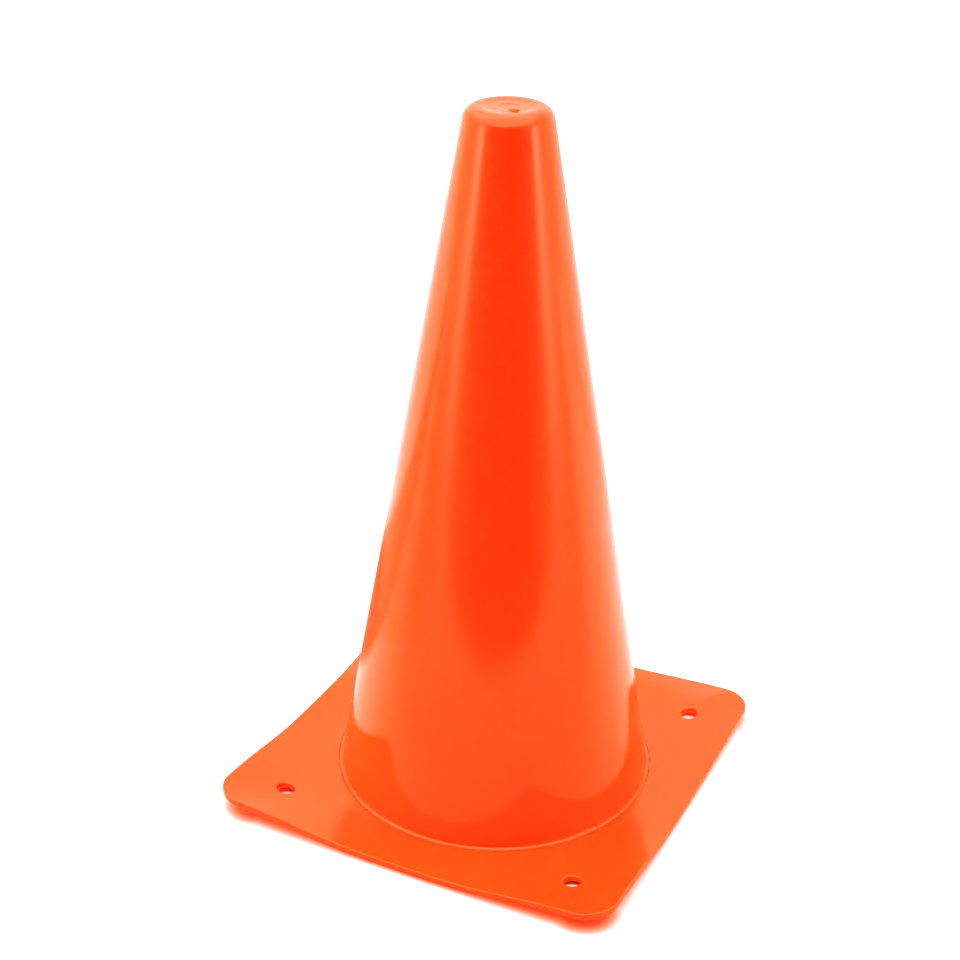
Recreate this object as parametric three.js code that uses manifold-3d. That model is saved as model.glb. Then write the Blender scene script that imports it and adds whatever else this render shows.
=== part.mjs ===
// Small orange traffic cone: a hollow tapered cone on a thin square flange with four peg holes.
// Millimetres, +Z up. The origin is on the cone's axis, on the plane that the foot stands on,
// and the flange's sides lie along X and Y.
//
// The nodes:
//   cone_shell  the hollow cone, with its closed dished top, gate mark and foot ring
//   base_plate  the square flange round the foot, with curled corners and peg holes

import * as THREE from 'three';
import { mergeVertices } from 'three/addons/utils/BufferGeometryUtils.js';
import Module from 'manifold-3d';

const wasm = await Module();
wasm.setup();

// ---- Driving dimensions -------------------------------------------------------------------

const TOTAL_HEIGHT = 230;
const PLATE_SIDE = 140;
const PLATE_THICKNESS = 2.4;
const PLATE_CORNER_RADIUS = 11;

// The wall's outer face, carried on as a straight taper to the plate's top and to the cone's top.
const WALL_THICKNESS = 1.5;
const FOOT_RADIUS = 52.3;
const CROWN_RADIUS = 13;
const CROWN_EDGE_RADIUS = 4.2;
const FOOT_FILLET_RADIUS = 1;
const MOUTH_EDGE_RADIUS = 0.6;

// The closed top: a shallow dish with a smaller crater where the plastic went into the mould.
const TOP_THICKNESS = 2.4;
const DISH_RADIUS = 8.9;
const DISH_DEPTH = 0.8;
const DISH_SLOPE_WIDTH = 3;
const CRATER_RADIUS = 4;
const CRATER_DEPTH = 0.3;
const CRATER_SLOPE_WIDTH = 0.6;
const GATE_RADIUS = 1.7;
const GATE_HEIGHT = 0.9;
const GATE_TAPER = 0.3;

// Peg holes, one in each corner.
const HOLE_RADIUS = 2.9;
const HOLE_OFFSET = 52;
const PLUG_LENGTH = 40;

// How far the thin flange has curled up: at each corner, and half-way along every side.
// The corners go round from +X +Y to -X +Y, -X -Y and +X -Y.
const FLAT_RADIUS = 57;
const CORNER_LIFTS = [3.3, 6.5, 6.0, 5.8];
const SIDE_LIFT = 1.4;
const CURL_POWER = 1.5;

// The cone and the plate are told apart along the foot ring, with a hairline gap.
const RING_GAP = 0.3;

// ---- Facet counts -------------------------------------------------------------------------

const AROUND = 96;
const PLATE_RINGS = 7;
const HOLE_FACETS = 24;
const ARC_STEPS = 5;
const CROWN_STEPS = 8;

// How far the angles round the plate are drawn towards the corners, in radians, and how near two
// corners of a mesh are before they count as one.
const CORNER_GATHER = 0.16;
const WELD_DISTANCE = 1e-4;

// ---- Derived sizes ------------------------------------------------------------------------

const wallRise = TOTAL_HEIGHT - PLATE_THICKNESS;
const wallSlope = (FOOT_RADIUS - CROWN_RADIUS) / wallRise;
const wallTilt = Math.atan(wallSlope);
const ringRadius = FOOT_RADIUS + FOOT_FILLET_RADIUS * Math.tan(Math.PI / 4 - wallTilt / 2);

const orange = { metalness: 0, roughness: 0.3 };
const coneOrange = new THREE.MeshStandardMaterial({ ...orange, color: 0xfe3a0e });
const plateOrange = new THREE.MeshStandardMaterial({ ...orange, color: 0xfe4a14 });

// ---- Helpers ------------------------------------------------------------------------------

// Outer wall radius at a height above the plate's top face.
function wallRadius(height) {
  return FOOT_RADIUS - wallSlope * height;
}

// Points along a circular arc in the profile plane, both ends included.
function arc(centreRadius, centreHeight, radius, fromAngle, toAngle, steps = ARC_STEPS) {
  const points = [];
  for (let i = 0; i <= steps; i += 1) {
    const angle = fromAngle + ((toAngle - fromAngle) * i) / steps;
    points.push([
      centreRadius + radius * Math.cos(angle),
      centreHeight + radius * Math.sin(angle),
    ]);
  }
  return points;
}

// A solid of revolution about Z, from a profile of [radius, height] points.
function lathe(profile) {
  const points = profile.map(([radius, height]) => new THREE.Vector2(radius, height));
  const geometry = new THREE.LatheGeometry(points, AROUND);
  geometry.rotateX(Math.PI / 2);
  return geometry;
}

function toSolid(geometry) {
  const bare = geometry.clone();
  bare.deleteAttribute('normal');
  bare.deleteAttribute('uv');
  const merged = mergeVertices(bare, WELD_DISTANCE);
  return new wasm.Manifold(
    new wasm.Mesh({
      numProp: 3,
      vertProperties: new Float32Array(merged.attributes.position.array),
      triVerts: new Uint32Array(merged.index.array),
    }),
  );
}

function toGeometry(solid) {
  const mesh = solid.getMesh();
  const geometry = new THREE.BufferGeometry();
  geometry.setAttribute('position', new THREE.BufferAttribute(mesh.vertProperties, 3));
  geometry.setIndex(new THREE.BufferAttribute(mesh.triVerts, 1));
  geometry.computeVertexNormals();
  return geometry;
}

function namedMesh(name, geometry, material) {
  const mesh = new THREE.Mesh(geometry, material);
  mesh.name = name;
  return mesh;
}

// ---- cone_shell ---------------------------------------------------------------------------

// Profile of the closed shell, from the axis under the top, down the inside, round the open
// mouth, along the foot ring and up the outside to the axis again.
function shellProfile() {
  const innerOffset = WALL_THICKNESS / Math.cos(wallTilt);
  const innerTop = TOTAL_HEIGHT - TOP_THICKNESS - DISH_DEPTH - CRATER_DEPTH;
  const innerEdge = CROWN_EDGE_RADIUS - WALL_THICKNESS;
  const innerEdgeCentre =
    wallRadius(innerTop - innerEdge - PLATE_THICKNESS) - innerOffset - innerEdge / Math.cos(wallTilt);
  const mouthRadius = wallRadius(-PLATE_THICKNESS) - innerOffset;
  const innerWall = [
    [0, innerTop],
    ...arc(innerEdgeCentre, innerTop - innerEdge, innerEdge, Math.PI / 2, wallTilt),
    [mouthRadius - MOUTH_EDGE_RADIUS * wallSlope, MOUTH_EDGE_RADIUS],
    [mouthRadius + MOUTH_EDGE_RADIUS, 0],
  ];

  const filletTop = PLATE_THICKNESS + FOOT_FILLET_RADIUS;
  const footRing = [
    [ringRadius, 0],
    ...arc(ringRadius, filletTop, FOOT_FILLET_RADIUS, -Math.PI / 2, wallTilt - Math.PI),
  ];

  const crownCentreHeight = TOTAL_HEIGHT - CROWN_EDGE_RADIUS;
  const crownCentre =
    wallRadius(crownCentreHeight - PLATE_THICKNESS) - CROWN_EDGE_RADIUS / Math.cos(wallTilt);
  const dishFloor = TOTAL_HEIGHT - DISH_DEPTH;
  const craterFloor = dishFloor - CRATER_DEPTH;
  const crown = [
    ...arc(crownCentre, crownCentreHeight, CROWN_EDGE_RADIUS, wallTilt, Math.PI / 2, CROWN_STEPS),
    [DISH_RADIUS, TOTAL_HEIGHT],
    [DISH_RADIUS - DISH_SLOPE_WIDTH, dishFloor],
    [CRATER_RADIUS, dishFloor],
    [CRATER_RADIUS - CRATER_SLOPE_WIDTH, craterFloor],
    [GATE_RADIUS, craterFloor],
    [GATE_RADIUS - GATE_TAPER, craterFloor + GATE_HEIGHT],
    [0, craterFloor + GATE_HEIGHT],
  ];
  return [...innerWall, ...footRing, ...crown];
}

// ---- base_plate ---------------------------------------------------------------------------

// Distance from the centre to the rounded square's edge, in the direction of an angle.
function edgeDistance(angle) {
  const quarter = Math.PI / 2;
  const turned = ((angle % quarter) + quarter) % quarter;
  const fromSide = Math.min(turned, quarter - turned);
  const half = PLATE_SIDE / 2;
  const cornerCentre = half - PLATE_CORNER_RADIUS;
  if (half * Math.tan(fromSide) <= cornerCentre) {
    return half / Math.cos(fromSide);
  }
  const along = cornerCentre * (Math.cos(fromSide) + Math.sin(fromSide));
  const across = 2 * cornerCentre ** 2 - PLATE_CORNER_RADIUS ** 2;
  return along + Math.sqrt(along ** 2 - across);
}

// How far the flange has curled up at a place, from nothing on the flat ring round the foot.
function curl(radius, angle) {
  const quarter = Math.PI / 2;
  const turned = (angle + 2 * Math.PI) % (2 * Math.PI);
  const corner = Math.floor(turned / quarter) % 4;
  const fromCorner = turned - corner * quarter - quarter / 2;
  const cornerShare = Math.cos(2 * fromCorner) ** 4;
  const edgeLift = SIDE_LIFT + (CORNER_LIFTS[corner] - SIDE_LIFT) * cornerShare;
  const reach = Math.max(0, (radius - FLAT_RADIUS) / (edgeDistance(angle) - FLAT_RADIUS));
  return edgeLift * reach ** CURL_POWER;
}

// Angles round the plate, gathered a little towards the corners so that these come out round.
function plateAngle(step) {
  const even = (2 * Math.PI * step) / AROUND;
  return even + CORNER_GATHER * Math.sin(4 * even);
}

// The plate as a grid of rings: the inner edge, the top out to the outer edge, and the underside
// back again. Every ring has the same number of points, and the last ring joins the first.
function plateGeometry() {
  const innerRadius = ringRadius + RING_GAP;
  const radii = (angle) => {
    const edge = edgeDistance(angle);
    const list = [innerRadius, FLAT_RADIUS];
    for (let i = 1; i < PLATE_RINGS; i += 1) {
      list.push(FLAT_RADIUS + ((edge - FLAT_RADIUS) * i) / (PLATE_RINGS - 1));
    }
    return list;
  };
  const columns = [];
  for (let step = 0; step < AROUND; step += 1) {
    const angle = plateAngle(step);
    const list = radii(angle);
    const under = list.map((radius) => [radius, curl(radius, angle)]);
    const top = list.map((radius) => [radius, curl(radius, angle) + PLATE_THICKNESS]);
    const loop = [...top, ...under.reverse()];
    columns.push(loop.map(([radius, z]) => [radius * Math.cos(angle), radius * Math.sin(angle), z]));
  }
  const count = columns[0].length;
  const rings = [];
  for (let ring = 0; ring < count; ring += 1) {
    rings.push(columns.map((column) => column[ring]));
  }

  const positions = rings.flat(2);
  const index = [];
  for (let ring = 0; ring < count; ring += 1) {
    const nextRing = (ring + 1) % count;
    for (let step = 0; step < AROUND; step += 1) {
      const nextStep = (step + 1) % AROUND;
      const a = ring * AROUND + step;
      const b = nextRing * AROUND + step;
      const c = nextRing * AROUND + nextStep;
      const d = ring * AROUND + nextStep;
      index.push(a, b, c, a, c, d);
    }
  }
  const geometry = new THREE.BufferGeometry();
  geometry.setAttribute('position', new THREE.Float32BufferAttribute(positions, 3));
  geometry.setIndex(index);
  return geometry;
}

// A plug that cuts one peg hole, tall enough to go through the curled plate.
function pegHole(signX, signY) {
  const plug = new THREE.CylinderGeometry(HOLE_RADIUS, HOLE_RADIUS, PLUG_LENGTH, HOLE_FACETS);
  plug.rotateX(Math.PI / 2);
  plug.translate(signX * HOLE_OFFSET, signY * HOLE_OFFSET, 0);
  return plug;
}

function basePlate() {
  let plate = toSolid(plateGeometry());
  for (const signX of [-1, 1]) {
    for (const signY of [-1, 1]) {
      plate = plate.subtract(toSolid(pegHole(signX, signY)));
    }
  }
  return toGeometry(plate);
}

// ---- Assembly -----------------------------------------------------------------------------

const trafficCone = new THREE.Group();
trafficCone.add(namedMesh('base_plate', basePlate(), plateOrange));
trafficCone.add(namedMesh('cone_shell', lathe(shellProfile()), coneOrange));

export default trafficCone;
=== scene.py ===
import math

import bpy
import numpy as np
from mathutils import Matrix, Vector, geometry


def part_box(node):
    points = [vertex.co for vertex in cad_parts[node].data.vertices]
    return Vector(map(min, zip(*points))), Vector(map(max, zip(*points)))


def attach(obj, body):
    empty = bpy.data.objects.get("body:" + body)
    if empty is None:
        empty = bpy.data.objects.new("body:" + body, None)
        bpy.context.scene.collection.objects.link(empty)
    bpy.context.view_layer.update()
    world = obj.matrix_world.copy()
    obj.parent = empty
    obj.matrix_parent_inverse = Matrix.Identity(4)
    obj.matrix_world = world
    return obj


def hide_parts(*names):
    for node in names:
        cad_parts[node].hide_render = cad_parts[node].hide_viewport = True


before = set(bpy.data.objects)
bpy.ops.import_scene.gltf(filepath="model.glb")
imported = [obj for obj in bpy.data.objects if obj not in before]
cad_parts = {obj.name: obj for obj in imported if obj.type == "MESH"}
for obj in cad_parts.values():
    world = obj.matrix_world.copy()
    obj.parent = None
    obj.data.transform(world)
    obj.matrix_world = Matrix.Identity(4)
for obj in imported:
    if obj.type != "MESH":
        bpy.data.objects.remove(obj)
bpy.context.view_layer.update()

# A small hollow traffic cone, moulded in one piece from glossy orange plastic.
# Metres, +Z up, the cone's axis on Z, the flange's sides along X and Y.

MM = 0.001
BODY = "root"

# ---- Sizes, from the frame where it gives them --------------------------------------------------

SHELL_LOW, SHELL_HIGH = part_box("cone_shell")
PLATE_LOW, PLATE_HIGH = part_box("base_plate")

TOTAL_HEIGHT = SHELL_HIGH.z
PLATE_SIDE = PLATE_HIGH.x - PLATE_LOW.x
RING_RADIUS = (SHELL_HIGH.x - SHELL_LOW.x) / 2

PLATE_THICKNESS = 2.4 * MM
PLATE_CORNER_RADIUS = 11.0 * MM
PLATE_EDGE_RADIUS = 0.5 * MM
WALL_THICKNESS = 1.5 * MM
FOOT_RADIUS = 52.3 * MM
CROWN_RADIUS = 13.0 * MM
CROWN_EDGE_RADIUS = 4.2 * MM
FILLET_RADIUS = 1.0 * MM
MOUTH_EDGE_RADIUS = 0.6 * MM

TOP_THICKNESS = 2.4 * MM
DISH_RADIUS = 8.9 * MM
DISH_DEPTH = 0.35 * MM
DISH_SLOPE_WIDTH = 3.0 * MM
CRATER_RADIUS = 4.0 * MM
CRATER_DEPTH = 0.2 * MM
CRATER_SLOPE_WIDTH = 1.4 * MM
CRATER_FLOOR_RINGS = (2.2 * MM, 1.0 * MM)

HOLE_RADIUS = 2.9 * MM
HOLE_OFFSET = 52.0 * MM
HOLE_LIP_RADIUS = 0.7 * MM
HOLES = [(sx * HOLE_OFFSET, sy * HOLE_OFFSET) for sx in (-1, 1) for sy in (-1, 1)]

# The flange lies flat inside FLAT_RADIUS and curls up outside it, most of all at its corners.
FLAT_RADIUS = 57.0 * MM
CORNER_LIFTS = [3.3 * MM, 6.5 * MM, 6.0 * MM, 5.8 * MM]
SIDE_LIFT = 1.4 * MM
CURL_POWER = 1.5
CORNER_POWER = 4

WALL_RISE = TOTAL_HEIGHT - PLATE_THICKNESS
WALL_SLOPE = (FOOT_RADIUS - CROWN_RADIUS) / WALL_RISE
WALL_TILT = math.atan(WALL_SLOPE)

# The short tick across the foot ring: its inner half climbs the fillet, its outer half lies flat.
TICK_ANGLE = math.radians(-24.9) % (2 * math.pi)
TICK_WIDTH = 0.5 * MM
TICK_HEIGHT = 0.5 * MM
TICK_REACH = 2.4 * MM
TICK_BOTTOM = PLATE_THICKNESS * 0.9
TICK_LENGTH = 2.0 * MM
TICK_OVERHANG = 0.1 * MM
TICK_SPREAD = 1.5
TICK_SHARPNESS = 3
TICK_LEAN = 0.7

# The torn stub that the moulding gate leaves on the top.
GATE_LENGTH = 4.2 * MM
GATE_WIDTH = 4.0 * MM
GATE_HEIGHT = 0.62 * MM
GATE_SINK = 0.2 * MM
GATE_TURN = math.radians(30)
GATE_BLUNTNESS = 0.25
GATE_SLANT = 0.35
# How many times its middle height the slant and the ragged outline give its high end, at most.
GATE_PEAK = 1.4
# Millimetres from the axis to the camera's right, and towards the camera.
GATE_PLACE = (1.3, 4.3)
# Waves in its outline: share of the radius, waves round it, start and turn on the way up.
GATE_WAVES = ((0.10, 3, 1.1, 0), (0.06, 7, 0.4, 4))

# How finely the surfaces are divided.
AROUND = 288
FILLET_STEPS = 12
CROWN_STEPS = 16
WALL_STEPS = 60
DISH_STEPS = 12
CRATER_STEPS = 6
INNER_CORNER_STEPS = 8
INNER_WALL_STEPS = 40
MOUTH_STEPS = 5
INNER_TOP_RADIUS = 1.5 * MM
TICK_STEPS = 25
CORNER_STEPS = 24
SIDE_STEPS = 80
HOLE_AROUND = 56
GATE_RINGS = 14
GATE_AROUND = 40
TICK_RINGS = 12
TICK_AROUND = 24

# Loops of points along the flange's edge, its holes and the foot ring: millimetres from each.
EDGE_INSETS = (0.0, 0.03, 0.09, 0.18, 0.32, 0.5, 0.8, 1.3)
HOLE_MARGINS = (0.0, 0.03, 0.1, 0.22, 0.45, 0.9, 1.5)
RING_MARGINS = (0.0, 0.7, 1.6)

# The even net of points between those loops.
NET_PITCH = 1.5 * MM
NET_ROW_SHARE = 0.866
NET_CLEARANCE = 0.6 * NET_PITCH
NET_EPSILON = 1e-7
RING_CUT = RING_RADIUS * 0.9998

# Which faces count as the hidden upright seam at the foot ring.
SEAM_TOLERANCE = 0.05 * MM
UPRIGHT_LIMIT = 0.01

# ---- Plastic ------------------------------------------------------------------------------------

ORANGE = (0.985, 0.0335, 0.003)
DEEP_ORANGE = (0.975, 0.0320, 0.0027)
# The gate stub's colours are darkened far below the plastic's own: painted shade for its shaded
# side.
GATE_PAINTED_SHADE_ORANGE = (0.26, 0.032, 0.006)
DEEP_GATE_PAINTED_SHADE_ORANGE = (0.20, 0.027, 0.005)
MOULDED_ROUGHNESS = (0.10, 0.16)
TORN_ROUGHNESS = (0.55, 0.7)
MOULDED_SPECULAR = 0.5
TORN_SPECULAR = 0.1
PLASTIC_IOR = 1.49
SCATTER_RADIUS = (1.0, 0.18, 0.05)
SCATTER_SCALE = 5.0 * MM
# Scale, detail and roughness of the plastic's noises, and the part of their range in use.
CLOUD_NOISE = (18.0, 4.0, 0.5)
CLOUD_RANGE = (0.3, 0.7)
SCUFF_NOISE = (60.0, 6.0, 0.62)
SCUFF_RANGE = (0.3, 0.75)
PEEL_NOISE = (420.0, 2.0, 0.5)
NOISE_SHIFT = (1.0, 0.37, -1.0)
PEEL_STRENGTH = 0.08
PEEL_DEPTH = 0.15 * MM

# ---- The camera's place -------------------------------------------------------------------------

CAMERA_AZIMUTH = math.radians(24.9)
CAMERA_DISTANCE = 0.5242
CAMERA_HEIGHT = 0.3797
CAMERA_AIM = Vector((-0.0059, -0.0028, 0.1081))
CAMERA_ROLL = math.radians(0.974)
CAMERA_LENS = 69.46
CAMERA_SENSOR = 36.0

# ---- The studio ---------------------------------------------------------------------------------

# The table: how far it reaches, and how bright it is to the camera.
TABLE_FRONT = 0.31
TABLE_BACK = 1.3
TABLE_HALF_WIDTH = 1.3
TABLE_GREY = 0.6

# How much light the table sends back, from TABLE_RAMP_REACH behind the cone to as far in front.
TABLE_RAMP_REACH = 0.3
TABLE_LEFT = (
    (0.0, 0.58), (0.17, 0.68), (0.22, 0.30), (0.30, 0.27), (0.39, 0.26), (0.41, 0.50), (0.5, 0.50),
    (0.62, 0.28), (0.75, 0.30), (1.0, 0.40),
)
TABLE_RIGHT = (
    (0.0, 0.42), (0.05, 0.36), (0.14, 0.38), (0.22, 0.49), (0.30, 0.52), (0.5, 0.50),
    (0.62, 0.28), (0.75, 0.30), (1.0, 0.40),
)
TABLE_MIDDLE = 0.02

# The share that a soft shadow behind the cone on the left takes away, along the same reach.
TABLE_SHADOW = ((0.0, 0.0), (0.20, 0.0), (0.25, 0.65), (0.385, 0.65), (0.41, 0.0), (1.0, 0.0))
SHADOW_EDGE = (-0.17, -0.13)

# Beyond a slanting line at the back left the table is dimmer.
FAR_SLANT = 1.25
FAR_EDGE = (-0.265, -0.245)
FAR_SHARE = 0.75

# Painted glow and shadow: the table's colour turns red under the flange and close to its corners,
# standing in for light through the thin plastic.
SHADE_SIDE_INSET = 1.5 * MM
SHADE_INSIDE = 6.5 * MM
SHADE_OUTSIDE = 1.5 * MM
SHADE_HOLE_BLUR = 1.0 * MM
SHADE_STOPS = (
    (0.0, (TABLE_GREY, 0.05, 0.03)), (0.3, (0.6, 0.09, 0.08)), (0.6, (0.6, 0.24, 0.22)),
    (0.8, (0.6, 0.42, 0.41)), (1.0, (TABLE_GREY, TABLE_GREY, TABLE_GREY)),
)

# Orange lights on the table under the flange: from the axis, across, along and watts, for each
# corner and each side.
GLOW_TINT = (1.0, 0.04, 0.02)
CORNER_GLOW = (86.0 * MM, 24.0 * MM, 24.0 * MM, 0.006)
SIDE_GLOW = (66.0 * MM, 7.0 * MM, 96.0 * MM, 0.004)
GLOW_RISE = 0.6

# The backdrop that the camera sees.
BACKDROP_STRENGTH = 1.3

# The room that reflections see: brightness by 0.5 + 0.5 * cos(angle from the camera's side).
ROOM = (
    (0.0, 0.46), (0.09, 0.60), (0.20, 0.58), (0.33, 0.42), (0.50, 0.50), (0.66, 0.54),
    (0.735, 0.48), (0.79, 0.30), (0.841, 0.15), (0.886, 0.06), (0.924, 0.02), (1.0, 0.005),
)
ROOM_STRENGTH = 3.0

# A brighter band where the room's side walls begin, by the same angle and by height.
BAND = (
    (0.0, 0.0), (0.55, 0.0), (0.64, 0.55), (0.68, 1.15), (0.72, 1.2), (0.76, 0.55), (0.80, 0.0),
)
BAND_LEVEL = ((0.0, 0.0), (0.15, 0.0), (0.38, 1.0), (0.56, 1.0), (0.85, 0.0))
BAND_HEIGHTS = (-0.3, 0.5)

# A bright ceiling round a direction, fading out between two cosines of the angle from it.
CEILING = 1.14
CEILING_LEAN = 0.14
CEILING_ELEVATION = math.radians(83)
CEILING_EDGE = (0.50, 0.67)

# Soft lights that reflections don't show: azimuth, elevation and watts of the two side walls.
LIGHT_AIM = Vector((0, 0, 0.1))
WALL_LIGHTS = (("left_wall", -95, 25, 55.0), ("right_wall", 95, 16, 44.0))
WALL_LIGHT_DISTANCE = 2.0
WALL_LIGHT_SIZE = (1.2, 1.0)
OVERHEAD_HEIGHT = 1.6
OVERHEAD_TO_LEFT = 0.6
OVERHEAD_SIZE = (1.4, 1.4)
OVERHEAD_POWER = 4.0

# Display curve of the blue channel.
BLUE_CURVE = (
    (0.006, 0.0042), (0.035, 0.0123), (0.09, 0.034), (0.126, 0.049),
    (0.185, 0.103), (0.295, 0.19), (0.50, 0.44),
)


# ---- Shared helpers -----------------------------------------------------------------------------

def towards(azimuth, elevation=0.0):
    """A direction from the cone, with azimuth counted from the camera's side."""
    turn = CAMERA_AZIMUTH + azimuth
    flat = math.cos(elevation)
    return Vector((math.sin(turn) * flat, -math.cos(turn) * flat, math.sin(elevation)))


FORWARD = towards(0)
RIGHT = towards(math.pi / 2)


def new_object(name, verts, faces):
    mesh = bpy.data.meshes.new(name)
    mesh.from_pydata(verts, [], faces)
    mesh.validate()
    mesh.update()
    for polygon in mesh.polygons:
        polygon.use_smooth = True
    obj = bpy.data.objects.new(name, mesh)
    bpy.context.scene.collection.objects.link(obj)
    return obj


def band_faces(first, second, count):
    """Quads between two rings of the same number of points, given by their first points."""
    faces = []
    for step in range(count):
        after = (step + 1) % count
        faces.append((first + step, first + after, second + after, second + step))
    return faces


def arc(centre_r, centre_z, radius, start, end, steps):
    """Points on a circle's arc in a profile, both ends included."""
    angles = np.linspace(start, end, steps + 1)
    return [(centre_r + radius * math.cos(a), centre_z + radius * math.sin(a)) for a in angles]


def line(start, end, steps):
    """Points from start to just before end, gathered towards both ends to hold the shading."""
    points = []
    for i in range(steps):
        share = 0.5 - 0.5 * math.cos(math.pi * i / steps)
        points.append(tuple(a + (b - a) * share for a, b in zip(start, end)))
    return points


def step_down(outer, inner, high, low, steps):
    """A smooth S-shaped step from (outer, high) to (inner, low)."""
    points = []
    for i in range(steps + 1):
        share = i / steps
        blend = share * share * (3 - 2 * share)
        points.append((outer + (inner - outer) * share, high + (low - high) * blend))
    return points


def flatten_seam(obj):
    """Keeps the hidden upright faces at the foot ring out of the smooth shading on top."""
    for polygon in obj.data.polygons:
        centre = polygon.center
        upright = abs(polygon.normal.z) < UPRIGHT_LIMIT
        if upright and abs(math.hypot(centre.x, centre.y) - RING_RADIUS) < SEAM_TOLERANCE:
            polygon.use_smooth = False


# ---- The cone's shell ---------------------------------------------------------------------------

def wall_radius(height):
    """Outer radius at a height above the plate's top face."""
    return FOOT_RADIUS - WALL_SLOPE * height


def outer_profile():
    """From the bottom of the foot ring up the outside to the axis."""
    fillet_z = PLATE_THICKNESS + FILLET_RADIUS
    crown_z = TOTAL_HEIGHT - CROWN_EDGE_RADIUS
    crown_r = wall_radius(crown_z - PLATE_THICKNESS) - CROWN_EDGE_RADIUS / math.cos(WALL_TILT)
    fillet = arc(
        RING_RADIUS, fillet_z, FILLET_RADIUS, -math.pi / 2, WALL_TILT - math.pi, FILLET_STEPS)
    crown = arc(crown_r, crown_z, CROWN_EDGE_RADIUS, WALL_TILT, math.pi / 2, CROWN_STEPS)
    dish_z = TOTAL_HEIGHT - DISH_DEPTH
    crater_z = dish_z - CRATER_DEPTH
    dish_floor_radius = DISH_RADIUS - DISH_SLOPE_WIDTH
    crater_floor_radius = CRATER_RADIUS - CRATER_SLOPE_WIDTH
    return [
        (RING_RADIUS, 0.0),
        *fillet[:-1],
        *line(fillet[-1], crown[0], WALL_STEPS),
        *crown,
        *step_down(DISH_RADIUS, dish_floor_radius, TOTAL_HEIGHT, dish_z, DISH_STEPS),
        *step_down(CRATER_RADIUS, crater_floor_radius, dish_z, crater_z, CRATER_STEPS),
        *((radius, crater_z) for radius in CRATER_FLOOR_RINGS),
    ]


def inner_profile():
    """From the axis under the top down the inside to the open mouth."""
    offset = WALL_THICKNESS / math.cos(WALL_TILT)
    top = TOTAL_HEIGHT - TOP_THICKNESS - DISH_DEPTH - CRATER_DEPTH
    edge = CROWN_EDGE_RADIUS - WALL_THICKNESS
    edge_r = wall_radius(top - edge - PLATE_THICKNESS) - offset - edge / math.cos(WALL_TILT)
    mouth = wall_radius(-PLATE_THICKNESS) - offset
    lip = MOUTH_EDGE_RADIUS
    corner = arc(edge_r, top - edge, edge, math.pi / 2, WALL_TILT, INNER_CORNER_STEPS)
    mouth_edge = arc(mouth + lip, lip, lip, math.pi, 1.5 * math.pi, MOUTH_STEPS)
    return [
        (INNER_TOP_RADIUS, top),
        *corner[:-1],
        *line(corner[-1], mouth_edge[0], INNER_WALL_STEPS),
        *mouth_edge,
    ]


def shell_angles():
    """Even steps round the axis, and finer ones where the small tick crosses the foot ring."""
    even = np.linspace(0, 2 * math.pi, AROUND, endpoint=False)
    shares = np.linspace(-TICK_SPREAD, TICK_SPREAD, TICK_STEPS)
    fine = TICK_ANGLE + shares * TICK_WIDTH / RING_RADIUS
    angles = np.concatenate([even, fine % (2 * math.pi)])
    return np.unique(np.round(angles, 6))


def tick_height(radius, z, angle):
    """How far the tick stands out of the fillet: a short rib that fades up the wall."""
    turn = (angle - TICK_ANGLE + math.pi) % (2 * math.pi) - math.pi
    across = turn * radius / TICK_WIDTH
    up = max(0.0, z - PLATE_THICKNESS) / TICK_REACH
    if abs(across) > TICK_SPREAD or up > 1 or z < TICK_BOTTOM:
        return 0.0
    return TICK_HEIGHT * math.exp(-TICK_SHARPNESS * across * across) * math.sqrt(1 - up)


def cone_shell():
    """The inner and outer profile turned round the axis, closed under and on the top."""
    profile = outer_profile()
    inside = inner_profile()
    angles = shell_angles()
    count = len(angles)
    rings = inside + profile
    verts = []
    for index, (radius, z) in enumerate(rings):
        for angle in angles:
            out = tick_height(radius, z, angle) if index >= len(inside) else 0.0
            r = radius + out * TICK_LEAN
            verts.append((r * math.cos(angle), r * math.sin(angle), z + out * TICK_LEAN))
    faces = []
    for ring in range(len(rings) - 1):
        faces.extend(band_faces(ring * count, (ring + 1) * count, count))
    low_centre = len(verts)
    verts.append((0.0, 0.0, inside[0][1]))
    high_centre = len(verts)
    verts.append((0.0, 0.0, profile[-1][1]))
    last = (len(rings) - 1) * count
    for step in range(count):
        after = (step + 1) % count
        faces.append((low_centre, after, step))
        faces.append((high_centre, last + step, last + after))
    skin = new_object("shell_skin", verts, faces)
    flatten_seam(skin)
    return skin


# ---- The square flange --------------------------------------------------------------------------

def edge_distance(angle):
    """From the centre to the rounded square's edge."""
    turned = angle % (math.pi / 2)
    from_side = min(turned, math.pi / 2 - turned)
    half = PLATE_SIDE / 2
    centre = half - PLATE_CORNER_RADIUS
    if half * math.tan(from_side) <= centre:
        return half / math.cos(from_side)
    along = centre * (math.cos(from_side) + math.sin(from_side))
    return along + math.sqrt(along ** 2 - 2 * centre ** 2 + PLATE_CORNER_RADIUS ** 2)


def curl(x, y):
    """How far the thin flange has curled up at a place."""
    radius = math.hypot(x, y)
    if radius <= FLAT_RADIUS:
        return 0.0
    angle = math.atan2(y, x) % (2 * math.pi)
    corner = int(angle // (math.pi / 2)) % 4
    from_corner = angle - corner * math.pi / 2 - math.pi / 4
    share = math.cos(2 * from_corner) ** CORNER_POWER
    lift = SIDE_LIFT + (CORNER_LIFTS[corner] - SIDE_LIFT) * share
    reach = (radius - FLAT_RADIUS) / (edge_distance(angle) - FLAT_RADIUS)
    return lift * reach ** CURL_POWER


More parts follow.
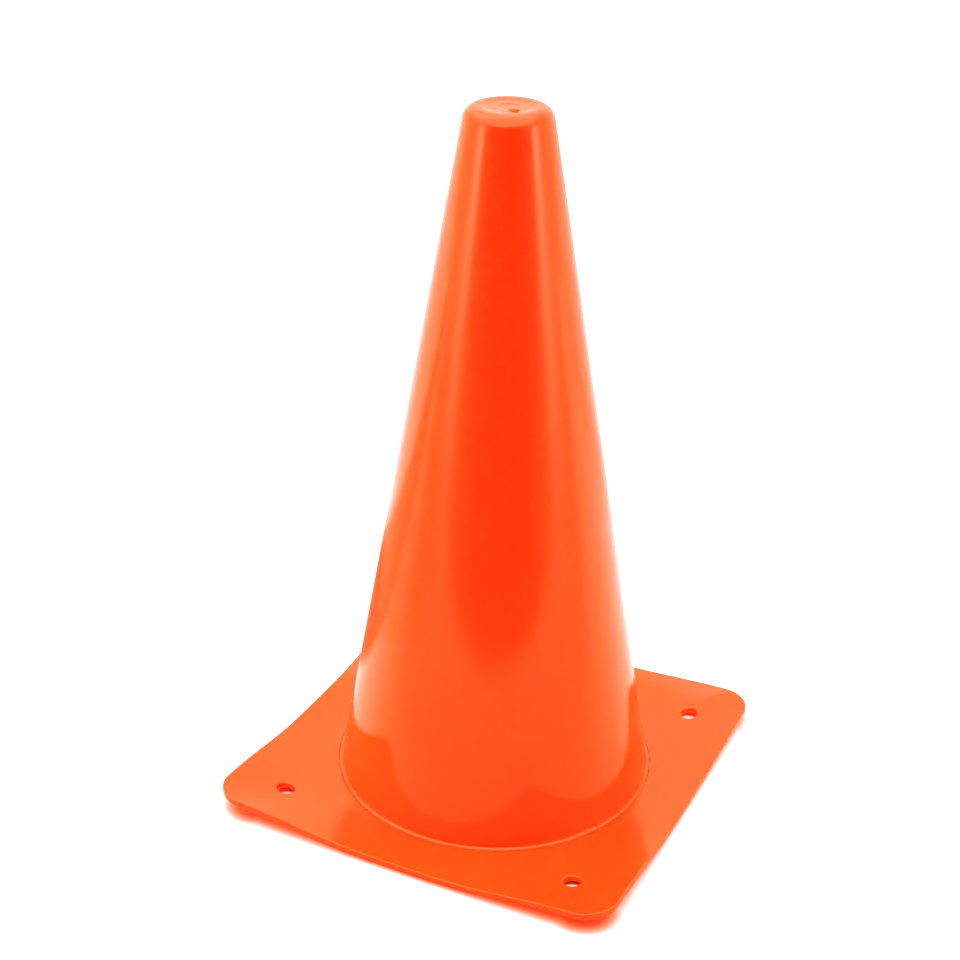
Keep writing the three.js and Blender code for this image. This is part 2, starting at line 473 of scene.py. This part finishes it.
def outline_loop(inset):
    """Points along the rounded square, moved in by a distance."""
    half = PLATE_SIDE / 2 - inset
    radius = PLATE_CORNER_RADIUS - inset
    centre = half - radius
    loop = []
    for quarter in range(4):
        base = quarter * math.pi / 2
        side_x = math.copysign(centre, math.cos(base + math.pi / 4))
        side_y = math.copysign(centre, math.sin(base + math.pi / 4))
        for i in range(CORNER_STEPS + 1):
            angle = base + (i / CORNER_STEPS) * math.pi / 2
            loop.append((side_x + radius * math.cos(angle), side_y + radius * math.sin(angle)))
        x, y = loop[-1]
        along_x = -math.sin(base + math.pi / 2)
        along_y = math.cos(base + math.pi / 2)
        for i in range(1, SIDE_STEPS):
            step = 2 * centre * i / SIDE_STEPS
            loop.append((x + along_x * step, y + along_y * step))
    return loop


def circle(centre_x, centre_y, radius, count):
    turns = [2 * math.pi * i / count for i in range(count)]
    return [(centre_x + radius * math.cos(t), centre_y + radius * math.sin(t)) for t in turns]


def outline_depth(x, y):
    """Distance in from the rounded square's edge."""
    half = PLATE_SIDE / 2 - PLATE_CORNER_RADIUS
    dx = abs(x) - half
    dy = abs(y) - half
    outside = math.hypot(max(dx, 0.0), max(dy, 0.0))
    return PLATE_CORNER_RADIUS - outside - min(max(dx, dy), 0.0)


def hole_depth(x, y):
    """Distance away from the nearest hole's edge."""
    return min(math.hypot(x - hx, y - hy) for hx, hy in HOLES) - HOLE_RADIUS


def rounding(depth, radius):
    """How far a rounded edge drops below the face at a distance in from it."""
    if depth >= radius:
        return 0.0
    away = radius - max(depth, 0.0)
    return radius - math.sqrt(max(radius * radius - away * away, 0.0))


def inner_points():
    """An even net of points on the open part of the flange, clear of every edge's own loops."""
    points = []
    rows = int(PLATE_SIDE / NET_PITCH / NET_ROW_SHARE) + 1
    for row in range(rows):
        y = -PLATE_SIDE / 2 + row * NET_PITCH * NET_ROW_SHARE
        shift = 0.5 * NET_PITCH * (row % 2)
        for column in range(int(PLATE_SIDE / NET_PITCH) + 1):
            x = -PLATE_SIDE / 2 + column * NET_PITCH + shift
            if outline_depth(x, y) < EDGE_INSETS[-1] * MM + NET_CLEARANCE:
                continue
            if hole_depth(x, y) < HOLE_MARGINS[-1] * MM + NET_CLEARANCE:
                continue
            if math.hypot(x, y) < RING_RADIUS + RING_MARGINS[-1] * MM + NET_CLEARANCE:
                continue
            points.append((x, y))
    return points


def base_plate():
    """The flange's flat net, with loops of points that follow its edge, the holes and the ring."""
    loops = [outline_loop(inset * MM) for inset in EDGE_INSETS]
    for hx, hy in HOLES:
        loops.extend(circle(hx, hy, HOLE_RADIUS + away * MM, HOLE_AROUND) for away in HOLE_MARGINS)
    loops.extend(circle(0, 0, RING_RADIUS + away * MM, AROUND) for away in RING_MARGINS)
    points = []
    edges = []
    for loop in loops:
        start = len(points)
        points.extend(loop)
        edges.extend((start + i, start + (i + 1) % len(loop)) for i in range(len(loop)))
    points.extend(inner_points())
    flat, _, triangles, *_ = geometry.delaunay_2d_cdt(
        [Vector(p) for p in points], edges, [], 0, NET_EPSILON)
    kept = []
    for triangle in triangles:
        cx = sum(flat[i][0] for i in triangle) / 3
        cy = sum(flat[i][1] for i in triangle) / 3
        if hole_depth(cx, cy) > 0 and math.hypot(cx, cy) > RING_CUT:
            kept.append(tuple(triangle))
    return plate_solid(flat, kept)


def plate_solid(flat, triangles):
    """Top and underside from one flat net, joined along its open edges."""
    count = len(flat)
    top = []
    under = []
    for x, y in flat:
        drop = rounding(outline_depth(x, y), PLATE_EDGE_RADIUS)
        drop = max(drop, rounding(hole_depth(x, y), HOLE_LIP_RADIUS))
        base = curl(x, y)
        top.append((x, y, base + PLATE_THICKNESS - drop))
        under.append((x, y, base + drop))
    sided = set()
    faces = []
    for a, b, c in triangles:
        turn = (flat[b][0] - flat[a][0]) * (flat[c][1] - flat[a][1])
        turn -= (flat[b][1] - flat[a][1]) * (flat[c][0] - flat[a][0])
        if turn < 0:
            b, c = c, b
        faces.append((a, b, c))
        faces.append((count + a, count + c, count + b))
        sided.update(((a, b), (b, c), (c, a)))
    for a, b in sorted(sided):
        if (b, a) not in sided:
            faces.append((b, a, count + a, count + b))
    skin = new_object("plate_skin", top + under, faces)
    flatten_seam(skin)
    return skin


# ---- Small marks on the moulding ----------------------------------------------------------------

def gate_mark():
    """A low blunt wedge, higher at one end, with a ragged outline."""
    floor_z = TOTAL_HEIGHT - DISH_DEPTH - CRATER_DEPTH - GATE_SINK
    verts = []
    for ring in range(GATE_RINGS):
        share = ring / GATE_RINGS
        swell = math.cos(share * math.pi / 2) ** GATE_BLUNTNESS
        for step in range(GATE_AROUND):
            angle = 2 * math.pi * step / GATE_AROUND
            ragged = 1
            for depth, waves, start, twist in GATE_WAVES:
                ragged += depth * math.sin(waves * angle + start + twist * share)
            x = GATE_LENGTH / 2 * swell * ragged * math.cos(angle)
            y = GATE_WIDTH / 2 * swell * ragged * math.sin(angle)
            slant = 1 + GATE_SLANT * x / (GATE_LENGTH / 2)
            rise = (GATE_HEIGHT + GATE_SINK) / GATE_PEAK * share * slant
            verts.append((x, y, floor_z + rise))
    faces = []
    for ring in range(GATE_RINGS - 1):
        faces.extend(band_faces(ring * GATE_AROUND, (ring + 1) * GATE_AROUND, GATE_AROUND))
    faces.append(tuple(range(GATE_AROUND - 1, -1, -1)))
    faces.append(tuple((GATE_RINGS - 1) * GATE_AROUND + i for i in range(GATE_AROUND)))
    obj = new_object("gate_mark", verts, faces)
    to_right, to_front = GATE_PLACE
    obj.location = RIGHT * to_right * MM + FORWARD * to_front * MM
    obj.rotation_euler = (0, 0, CAMERA_AZIMUTH + GATE_TURN)
    return obj


def foot_tick():
    """The outer half of the tick on the foot ring: a small smooth rib that lies across its edge."""
    half_length = TICK_LENGTH / 2
    half_width = TICK_WIDTH / 2
    verts = [(-half_length, 0.0, 0.0)]
    for ring in range(1, TICK_RINGS):
        turn = math.pi * ring / TICK_RINGS
        girth = math.sin(turn)
        for step in range(TICK_AROUND):
            angle = 2 * math.pi * step / TICK_AROUND
            across = girth * math.cos(angle) * half_width
            up = girth * math.sin(angle) * TICK_HEIGHT
            verts.append((-math.cos(turn) * half_length, across, up))
    verts.append((half_length, 0.0, 0.0))
    last = len(verts) - 1
    faces = []
    for step in range(TICK_AROUND):
        after = (step + 1) % TICK_AROUND
        faces.append((0, 1 + after, 1 + step))
        faces.append((last, last - TICK_AROUND + step, last - TICK_AROUND + after))
    for ring in range(TICK_RINGS - 2):
        first = 1 + ring * TICK_AROUND
        faces.extend(band_faces(first, first + TICK_AROUND, TICK_AROUND))
    obj = new_object("foot_tick", verts, faces)
    reach = RING_RADIUS + TICK_OVERHANG
    obj.location = (reach * math.cos(TICK_ANGLE), reach * math.sin(TICK_ANGLE), PLATE_THICKNESS)
    obj.rotation_euler = (0, 0, TICK_ANGLE)
    return obj


# ---- Node helpers -------------------------------------------------------------------------------

def node(tree, kind, place, **settings):
    made = tree.nodes.new(kind)
    made.location = place
    for name, value in settings.items():
        setattr(made, name, value)
    return made


def feed(tree, socket, value):
    """Links an output to a socket, or sets a plain value on it."""
    if isinstance(value, bpy.types.NodeSocket):
        tree.links.new(value, socket)
    else:
        socket.default_value = value


def math_node(tree, place, operation, *values):
    made = node(tree, "ShaderNodeMath", place, operation=operation)
    for socket, value in zip(made.inputs, values):
        feed(tree, socket, value)
    return made.outputs["Value"]


def vector_node(tree, place, operation, *values):
    made = node(tree, "ShaderNodeVectorMath", place, operation=operation)
    for socket, value in zip(made.inputs, values):
        feed(tree, socket, value)
    gives_number = operation in ("DOT_PRODUCT", "LENGTH", "DISTANCE")
    return made.outputs["Value" if gives_number else "Vector"]


def map_node(tree, place, value, low, high, to_low=0.0, to_high=1.0, way="LINEAR"):
    made = node(tree, "ShaderNodeMapRange", place, interpolation_type=way)
    feed(tree, made.inputs["Value"], value)
    made.inputs["From Min"].default_value = low
    made.inputs["From Max"].default_value = high
    made.inputs["To Min"].default_value = to_low
    made.inputs["To Max"].default_value = to_high
    return made.outputs["Result"]


def ramp_node(tree, place, value, pairs):
    """A colour ramp through pairs of position and colour, or position and grey value."""
    made = node(tree, "ShaderNodeValToRGB", place)
    feed(tree, made.inputs["Fac"], value)
    stops = made.color_ramp.elements
    while len(stops) > 1:
        stops.remove(stops[-1])
    for index, (position, shade) in enumerate(pairs):
        stop = stops[0] if index == 0 else stops.new(position)
        stop.position = position
        colour = shade if isinstance(shade, tuple) else (shade, shade, shade)
        stop.color = (*colour, 1)
    return made.outputs["Color"]


def noise_node(tree, place, vector, scale, detail, roughness):
    made = node(tree, "ShaderNodeTexNoise", place)
    feed(tree, made.inputs["Vector"], vector)
    made.inputs["Scale"].default_value = scale
    made.inputs["Detail"].default_value = detail
    made.inputs["Roughness"].default_value = roughness
    return made.outputs["Fac"]


def split_by_camera_ray(tree, place, for_light, for_camera):
    """One shader for the camera's own rays and another for light and reflections."""
    path = node(tree, "ShaderNodeLightPath", (place[0] - 300, place[1] + 400))
    mix = node(tree, "ShaderNodeMixShader", place)
    feed(tree, mix.inputs["Fac"], path.outputs["Is Camera Ray"])
    feed(tree, mix.inputs[1], for_light)
    feed(tree, mix.inputs[2], for_camera)
    return mix.outputs["Shader"]


def empty_tree(owner):
    owner.use_nodes = True
    owner.node_tree.nodes.clear()
    return owner.node_tree


# ---- Materials ----------------------------------------------------------------------------------

def moulded_plastic(name, colours, seed, roughness=MOULDED_ROUGHNESS, specular=MOULDED_SPECULAR):
    """Glossy, slightly translucent plastic, with faint flow clouds, orange peel and scuffs."""
    material = bpy.data.materials.new(name)
    tree = empty_tree(material)
    output = node(tree, "ShaderNodeOutputMaterial", (900, 0))
    shader = node(tree, "ShaderNodeBsdfPrincipled", (600, 0))
    feed(tree, output.inputs["Surface"], shader.outputs["BSDF"])
    shader.inputs["IOR"].default_value = PLASTIC_IOR
    shader.inputs["Specular IOR Level"].default_value = specular
    shader.inputs["Subsurface Weight"].default_value = 1.0
    shader.inputs["Subsurface Radius"].default_value = SCATTER_RADIUS
    shader.inputs["Subsurface Scale"].default_value = SCATTER_SCALE

    place = node(tree, "ShaderNodeTexCoord", (-1500, 0))
    shift = node(tree, "ShaderNodeMapping", (-1300, 0))
    shift.inputs["Location"].default_value = [share * seed for share in NOISE_SHIFT]
    feed(tree, shift.inputs["Vector"], place.outputs["Object"])
    where = shift.outputs["Vector"]

    clouds = noise_node(tree, (-1000, 300), where, *CLOUD_NOISE)
    tint = node(tree, "ShaderNodeMix", (-600, 300), data_type="RGBA")
    tint.inputs["A"].default_value = (*colours[1], 1)
    tint.inputs["B"].default_value = (*colours[0], 1)
    feed(tree, tint.inputs["Factor"], map_node(tree, (-800, 300), clouds, *CLOUD_RANGE))
    feed(tree, shader.inputs["Base Color"], tint.outputs["Result"])

    scuffs = noise_node(tree, (-1000, -50), where, *SCUFF_NOISE)
    gloss = map_node(tree, (-600, -50), scuffs, *SCUFF_RANGE, *roughness)
    feed(tree, shader.inputs["Roughness"], gloss)

    peel = noise_node(tree, (-1000, -400), where, *PEEL_NOISE)
    bump = node(tree, "ShaderNodeBump", (200, -400))
    bump.inputs["Strength"].default_value = PEEL_STRENGTH
    bump.inputs["Distance"].default_value = PEEL_DEPTH
    feed(tree, bump.inputs["Height"], peel)
    feed(tree, shader.inputs["Normal"], bump.outputs["Normal"])
    return material


def build_cone():
    parts = (
        (cone_shell(), "cone_shell", "cone_plastic", 1.7),
        (base_plate(), "base_plate", "plate_plastic", 5.3),
    )
    for piece, cad_node, slot, seed in parts:
        plastic = moulded_plastic(cad_node + "_plastic", (ORANGE, DEEP_ORANGE), seed)
        piece.data.materials.append(plastic)
        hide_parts(cad_node)
        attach(piece, BODY)
    mark = gate_mark()
    # The gate stub gets the darkened colours: painted shade, not the plastic's own colour.
    gate_painted_shade_colours = (GATE_PAINTED_SHADE_ORANGE, DEEP_GATE_PAINTED_SHADE_ORANGE)
    mark.data.materials.append(
        moulded_plastic("gate_mark_plastic", gate_painted_shade_colours, 9.1, TORN_ROUGHNESS, TORN_SPECULAR))
    tick = foot_tick()
    tick.data.materials.append(parts[0][0].data.materials[0])
    for piece in (mark, tick):
        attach(piece, BODY)


# ---- Studio -------------------------------------------------------------------------------------

def floor():
    """A white table top that ends a little in front of the cone.

    What it sends back onto the cone varies, and is mostly dimmer than what the camera sees.
    """
    corners = []
    for along, side in ((TABLE_FRONT, -1), (TABLE_FRONT, 1), (-TABLE_BACK, 1), (-TABLE_BACK, -1)):
        corners.append(tuple(FORWARD * along + RIGHT * side * TABLE_HALF_WIDTH))
    obj = new_object("floor", corners, [(0, 1, 2, 3)])
    material = bpy.data.materials.new("white_table")
    tree = empty_tree(material)
    output = node(tree, "ShaderNodeOutputMaterial", (700, 0))
    place = node(tree, "ShaderNodeTexCoord", (-1700, 0))
    spot = place.outputs["Object"]
    seen = node(tree, "ShaderNodeBsdfDiffuse", (200, 200))
    feed(tree, seen.inputs["Color"], under_shade(tree, (-200, 500), spot))
    sent = node(tree, "ShaderNodeBsdfDiffuse", (200, -100))
    feed(tree, sent.inputs["Color"], sent_share(tree, spot))
    shader = split_by_camera_ray(tree, (450, 0), sent.outputs["BSDF"], seen.outputs["BSDF"])
    feed(tree, output.inputs["Surface"], shader)
    obj.data.materials.append(material)


def sent_share(tree, spot):
    """How much of its light the table sends back, place by place."""
    ahead = vector_node(tree, (-1200, -100), "DOT_PRODUCT", spot, FORWARD)
    depth = map_node(tree, (-1000, -100), ahead, -TABLE_RAMP_REACH, TABLE_RAMP_REACH)
    across = vector_node(tree, (-1200, -500), "DOT_PRODUCT", spot, RIGHT)
    left = ramp_node(tree, (-800, -100), depth, TABLE_LEFT)
    right = ramp_node(tree, (-800, -350), depth, TABLE_RIGHT)

    near = map_node(tree, (-1000, -600), across, *SHADOW_EDGE)
    shadow = ramp_node(tree, (-800, -600), depth, TABLE_SHADOW)
    taken = math_node(tree, (-500, -600), "MULTIPLY", near, shadow)
    kept = math_node(tree, (-400, -600), "SUBTRACT", 1.0, taken)
    left = math_node(tree, (-300, -100), "MULTIPLY", left, kept)

    side = map_node(tree, (-1000, -850), across, -TABLE_MIDDLE, TABLE_MIDDLE)
    change = math_node(tree, (-200, -350), "SUBTRACT", right, left)
    level = math_node(tree, (-100, -350), "MULTIPLY_ADD", change, side, left)

    slanted = FORWARD + FAR_SLANT * RIGHT
    slant = vector_node(tree, (-1200, -1100), "DOT_PRODUCT", spot, slanted)
    beyond = map_node(tree, (-1000, -1100), slant, *FAR_EDGE, FAR_SHARE)
    return math_node(tree, (0, -250), "MULTIPLY", level, beyond)


def under_shade(tree, place, spot):
    """The table's colour: grey, with a painted red glow and shadow where light would come through
    the flange above it.
    """
    x, y = place
    flat = vector_node(tree, (x - 1300, y), "MULTIPLY", spot, (1, 1, 0))
    fold = vector_node(tree, (x - 1100, y), "ABSOLUTE", flat)
    centre = PLATE_SIDE / 2 - PLATE_CORNER_RADIUS
    inward = vector_node(tree, (x - 900, y), "SUBTRACT", fold, (centre, centre, 0))
    corner = vector_node(tree, (x - 700, y + 150), "LENGTH", inward)
    outside = vector_node(tree, (x - 900, y - 150), "MAXIMUM", inward)
    side = vector_node(tree, (x - 700, y - 150), "LENGTH", outside)
    held = math_node(tree, (x - 500, y - 150), "ADD", side, SHADE_SIDE_INSET)
    reach = math_node(tree, (x - 400, y), "MINIMUM", corner, held)
    shade_start = PLATE_CORNER_RADIUS - SHADE_INSIDE
    shade_end = PLATE_CORNER_RADIUS + SHADE_OUTSIDE
    away = map_node(tree, (x - 200, y), reach, shade_start, shade_end)
    # Painted light: the colour goes back to grey under each hole, where light falls through it.
    hole = vector_node(tree, (x - 900, y - 400), "DISTANCE", fold, (HOLE_OFFSET, HOLE_OFFSET, 0))
    blurred = HOLE_RADIUS + SHADE_HOLE_BLUR
    through_hole = map_node(tree, (x - 700, y - 400), hole, HOLE_RADIUS, blurred, 1.0, 0.0)
    open_share = math_node(tree, (x - 100, y - 200), "MAXIMUM", away, through_hole)
    return ramp_node(tree, (x, y), open_share, SHADE_STOPS)


def studio_world():
    """White backdrop all round for the camera. Reflections see a dark room on the camera's side."""
    world = bpy.data.worlds.new("studio")
    bpy.context.scene.world = world
    tree = empty_tree(world)
    output = node(tree, "ShaderNodeOutputWorld", (800, 0))
    plain = node(tree, "ShaderNodeBackground", (200, 200))
    plain.inputs["Color"].default_value = (1, 1, 1, 1)
    plain.inputs["Strength"].default_value = BACKDROP_STRENGTH
    room = node(tree, "ShaderNodeBackground", (200, -100))
    feed(tree, room.inputs["Color"], room_brightness(tree))
    room.inputs["Strength"].default_value = ROOM_STRENGTH
    both = split_by_camera_ray(
        tree, (500, 0), room.outputs["Background"], plain.outputs["Background"])
    feed(tree, output.inputs["Surface"], both)


def room_brightness(tree):
    """The walls with their bright band, or the ceiling where that is brighter."""
    place = node(tree, "ShaderNodeTexCoord", (-1500, -100))
    sight = place.outputs["Generated"]
    facing = vector_node(tree, (-1200, -100), "DOT_PRODUCT", sight, FORWARD)
    half = math_node(tree, (-1000, -100), "MULTIPLY_ADD", facing, 0.5, 0.5)
    walls = ramp_node(tree, (-750, -100), half, ROOM)
    band = ramp_node(tree, (-750, -400), half, BAND)

    split = node(tree, "ShaderNodeSeparateXYZ", (-1200, -600))
    feed(tree, split.inputs["Vector"], sight)
    height = map_node(tree, (-1000, -700), split.outputs["Z"], *BAND_HEIGHTS)
    level = ramp_node(tree, (-750, -700), height, BAND_LEVEL)
    total = math_node(tree, (-200, -200), "MULTIPLY_ADD", band, level, walls)

    leaning = towards(0, CEILING_ELEVATION) - CEILING_LEAN * RIGHT
    above = vector_node(tree, (-600, -900), "DOT_PRODUCT", sight, leaning.normalized())
    ceiling = map_node(tree, (-200, -600), above, *CEILING_EDGE, 0.0, CEILING, "SMOOTHSTEP")
    return math_node(tree, (0, -300), "MAXIMUM", total, ceiling)


def area_light(name, size, power):
    """A rectangular light that neither the camera nor a reflection sees."""
    light = bpy.data.lights.new(name, "AREA")
    light.shape = "RECTANGLE"
    light.size, light.size_y = size
    light.energy = power
    obj = bpy.data.objects.new(name, light)
    obj.visible_glossy = False
    obj.visible_camera = False
    bpy.context.scene.collection.objects.link(obj)
    return obj


def soft_box(name, centre, size, power):
    """A large soft light that faces the cone."""
    obj = area_light(name, size, power)
    obj.location = centre
    obj.rotation_euler = (LIGHT_AIM - centre).to_track_quat("-Z", "Y").to_euler()


def lights():
    """Light from both sides, and weakly from above and a little to the left."""
    for name, azimuth, elevation, power in WALL_LIGHTS:
        wall = towards(math.radians(azimuth), math.radians(elevation)) * WALL_LIGHT_DISTANCE
        soft_box(name, wall, WALL_LIGHT_SIZE, power)
    overhead = Vector((0, 0, OVERHEAD_HEIGHT)) - RIGHT * OVERHEAD_TO_LEFT
    soft_box("overhead_fill", overhead, OVERHEAD_SIZE, OVERHEAD_POWER)


def under_glow():
    """Orange light on the table under the curled flange, like daylight through its thin plastic."""
    places = []
    for corner in range(4):
        places.append((math.radians(45 + 90 * corner), *CORNER_GLOW))
        places.append((math.radians(90 * corner), *SIDE_GLOW))
    for index, (angle, radius, across, along, power) in enumerate(places):
        out = Vector((math.cos(angle), math.sin(angle), 0))
        inner = curl(*(out * (radius - across / 2)).xy)
        outer = curl(*(out * (radius + across / 2)).xy)
        centre = out * radius + Vector((0, 0, GLOW_RISE * (inner + outer) / 2))
        slope = math.atan2(GLOW_RISE * (outer - inner), across)
        obj = area_light(f"glow_{index}", (across, along), power)
        obj.data.color = GLOW_TINT
        obj.matrix_world = (
            Matrix.Translation(centre)
            @ Matrix.Rotation(angle, 4, "Z")
            @ Matrix.Rotation(-slope, 4, "Y")
        )


def camera():
    data = bpy.data.cameras.new("camera")
    data.lens = CAMERA_LENS
    data.sensor_width = CAMERA_SENSOR
    obj = bpy.data.objects.new("camera", data)
    place = FORWARD * CAMERA_DISTANCE + Vector((0, 0, CAMERA_HEIGHT))
    look = (CAMERA_AIM - place).to_track_quat("-Z", "Y").to_matrix().to_4x4()
    roll = Matrix.Rotation(CAMERA_ROLL, 4, "Z")
    obj.matrix_world = Matrix.Translation(place) @ look @ roll
    bpy.context.scene.collection.objects.link(obj)
    bpy.context.scene.camera = obj


def grading():
    """Plain display colours, so that the strong orange stays strong."""
    view = bpy.context.scene.view_settings
    view.view_transform = "Standard"
    view.use_curve_mapping = True
    blue = view.curve_mapping.curves[2]
    for raw, shown in BLUE_CURVE:
        blue.points.new(raw, shown)
    view.curve_mapping.update()


build_cone()
floor()
studio_world()
lights()
under_glow()
camera()
grading()
